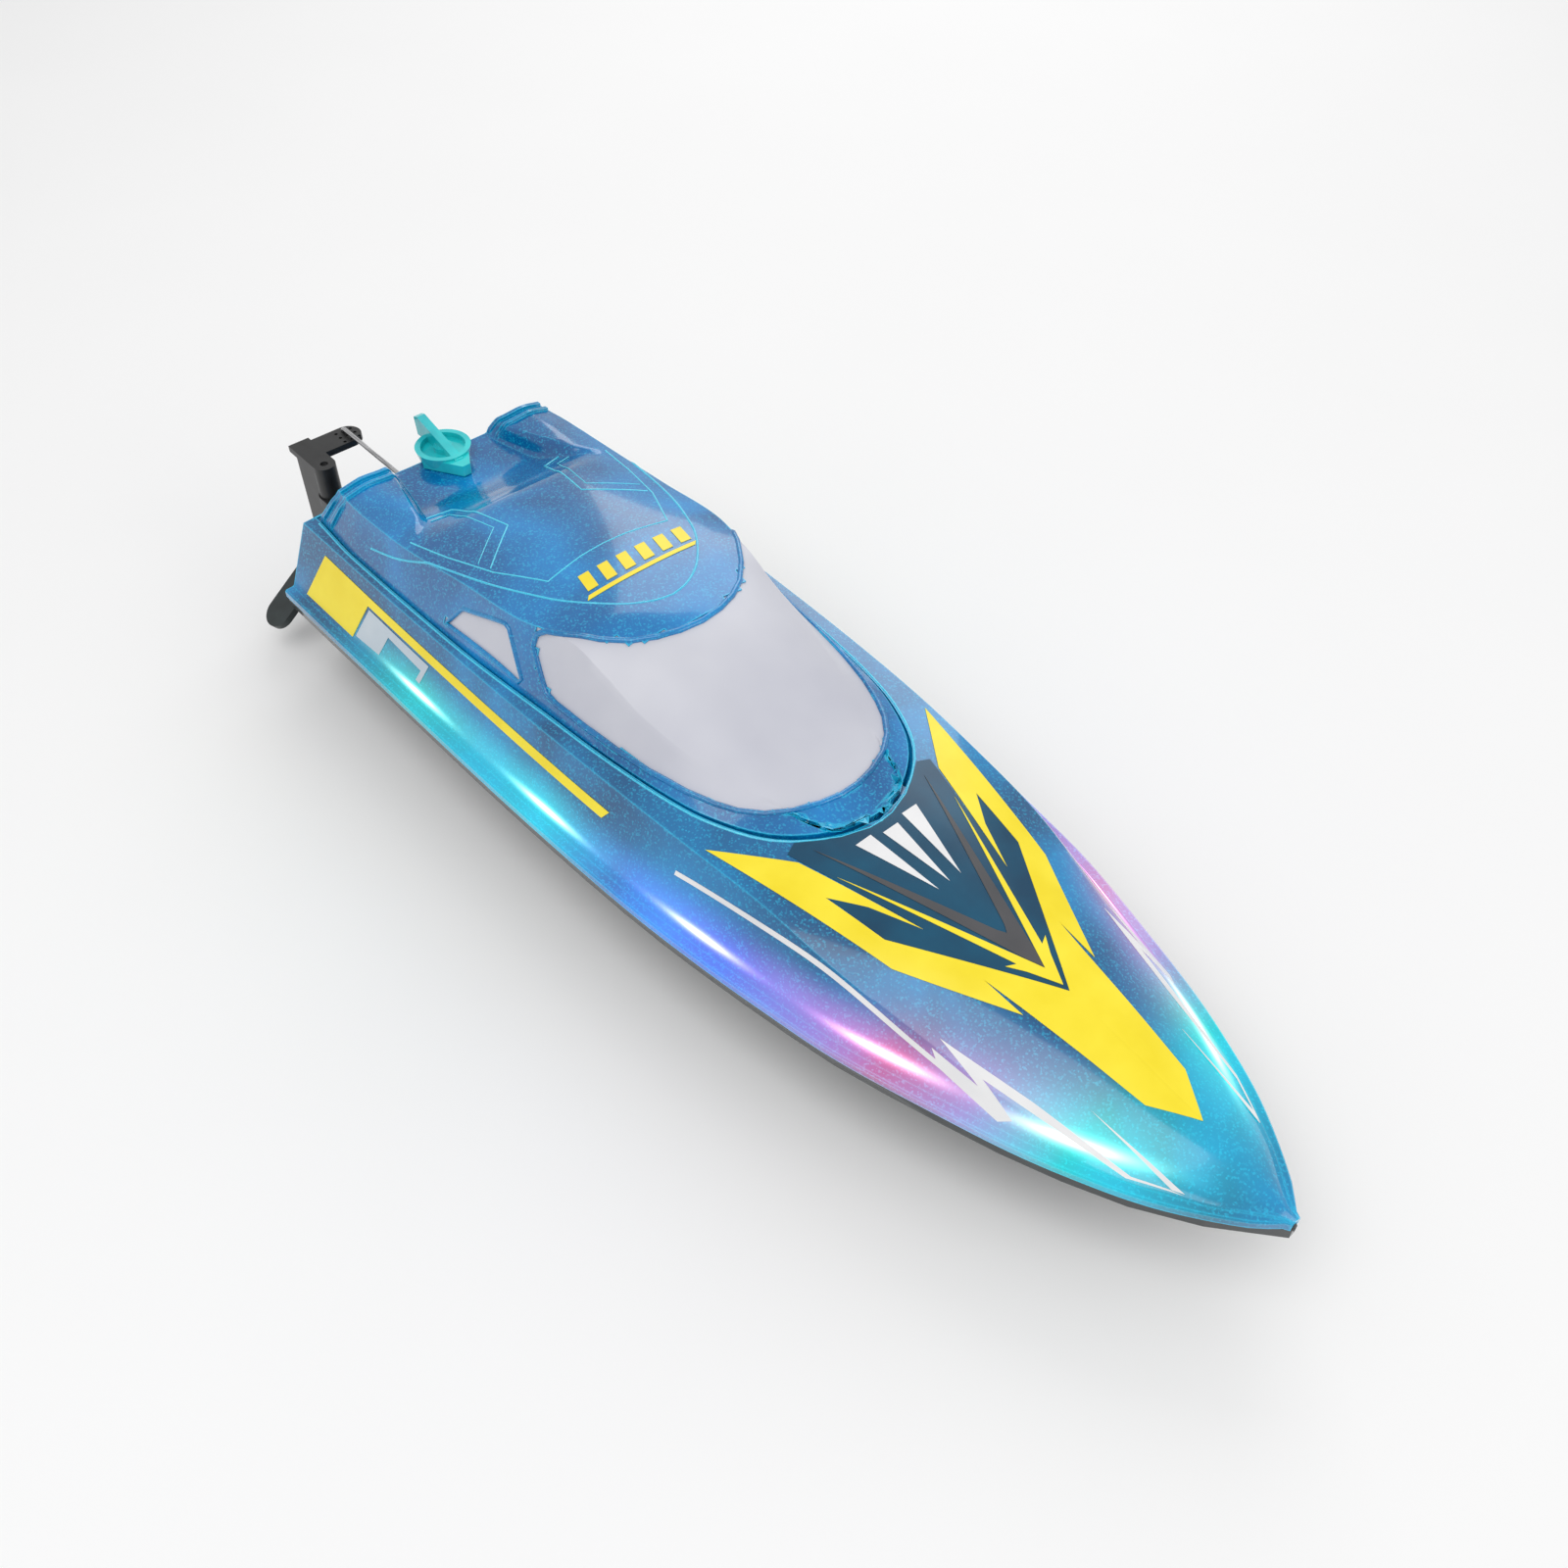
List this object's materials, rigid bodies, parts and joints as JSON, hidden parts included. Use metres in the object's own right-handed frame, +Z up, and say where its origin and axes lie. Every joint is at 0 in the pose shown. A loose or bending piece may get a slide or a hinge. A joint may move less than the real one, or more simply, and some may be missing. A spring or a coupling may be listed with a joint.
{
  "type": "radio-controlled boat",
  "caption": "Slim V-hulled model speed boat with a lift-off translucent cabin, twist latch, steered offset rudder with servo pushrod, and a motor-driven propeller.",
  "frame": {"origin": "on the flat keel pad amidships, 175 mm forward of the transom", "axes": "+X to the bow, +Y to port, +Z up"},
  "size_m": [0.384, 0.126, 0.0789],
  "materials": {
    "clear_blue_plastic": "glossy translucent blue moulding",
    "hull_plastic": "glossy dark grey moulding",
    "window_plastic": "pearl grey gloss",
    "turquoise_plastic": "glossy turquoise moulding",
    "black_plastic": "satin black glass-filled nylon",
    "dark_plastic": "satin moulding",
    "steel": "bright drawn steel",
    "zinc_screw": "zinc plated",
    "brass": "turned",
    "motor_steel": "zinc plated can",
    "rubber": "soft silicone",
    "servo_plastic": "satin dark blue",
    "white_plastic": "nylon",
    "battery_wrap": "shrink wrap",
    "fabric_strap": "woven hook and loop",
    "circuit_board": "solder masked laminate",
    "led_white": "clear lamp",
    "foam": "closed cell foam"
  },
  "bodies": {
    "hull": {"battery_pack": "battery_wrap", "battery_strap": "fabric_strap", "battery_tray": "dark_plastic", "bow_float": "foam", "bracket_screws": "zinc_screw", "control_board": "circuit_board", "control_case": "dark_plastic", "control_lid": "dark_plastic", "control_pad": "foam", "deck_shell": "clear_blue_plastic", "hatch_screws": "zinc_screw", "hatch_seal": "rubber", "hull_shell": "hull_plastic", "inner_hatch": "dark_plastic", "led_board_port": "circuit_board", "led_board_starboard": "circuit_board", "led_lamps_port": "led_white", "led_lamps_starboard": "led_white", "motor_can": "motor_steel", "motor_end_bell": "white_plastic", "motor_saddle": "dark_plastic", "motor_strap": "motor_steel", "rail_gasket": "rubber", "rudder_bracket": "black_plastic", "rudder_pin": "steel", "servo_case": "servo_plastic", "servo_hangers": "dark_plastic", "servo_screws": "zinc_screw", "stabiliser_port": "dark_plastic", "stabiliser_screws": "zinc_screw", "stabiliser_starboard": "dark_plastic", "stern_tube": "brass", "strap_screws": "zinc_screw", "switch_body": "dark_plastic", "tube_bush_aft": "brass", "tube_bush_forward": "brass", "tube_cradle": "dark_plastic", "water_contacts": "steel"},
    "cabin": {"cabin_cover": "clear_blue_plastic", "windscreen": "window_plastic", "side_window_port": "window_plastic", "side_window_starboard": "window_plastic"},
    "latch": {"latch_knob": "turquoise_plastic", "latch_stem": "turquoise_plastic", "latch_screw": "zinc_screw"},
    "rudder": {"rudder_blade": "black_plastic"},
    "linkage": {"pushrod": "steel"},
    "servo_output": {"servo_horn": "white_plastic", "servo_spline": "brass"},
    "drive": {"propeller": "black_plastic", "propeller_nut": "steel", "drive_shaft": "steel", "shaft_coupling": "brass", "coupling_screws": "zinc_screw", "motor_shaft": "steel"},
    "switch": {"switch_slider": "turquoise_plastic"}
  },
  "joints": [
    {"name": "cabin_lift", "type": "slide", "parent": "hull", "child": "cabin", "axis": [0, 0, 1], "range_m": [0, 0.07]},
    {"name": "latch_turn", "type": "hinge", "parent": "cabin", "child": "latch", "pos_m": [-0.164, 0, 0.0625], "axis": [0, 0, 1], "range_deg": [0, 90]},
    {"name": "rudder_turn", "type": "hinge", "parent": "hull", "child": "rudder", "pos_m": [-0.1931, -0.0286, 0.05], "axis": [0, 0, 1], "range_deg": [-31, 31]},
    {"name": "pushrod_pivot", "type": "hinge", "parent": "rudder", "child": "linkage", "pos_m": [-0.2056, -0.0142, 0.058], "axis": [0, 0, 1], "range_deg": [-27, 27]},
    {"name": "servo_turn", "type": "hinge", "parent": "hull", "child": "servo_output", "pos_m": [-0.111, -0.0286, 0.056], "axis": [0, 0, 1], "range_deg": [-30, 30]},
    {"name": "propeller_spin", "type": "hinge", "parent": "hull", "child": "drive", "pos_m": [-0.175, 0, 0.0152], "axis": [1, 0, 0], "continuous": true},
    {"name": "power_switch", "type": "slide", "parent": "hull", "child": "switch", "axis": [1, 0, 0], "range_m": [0, 0.0036]}
  ],
  "couplings": [
    {"joint": "rudder_turn", "follows": "servo_turn", "ratio": 1},
    {"joint": "pushrod_pivot", "follows": "servo_turn", "ratio": -0.874}
  ]
}
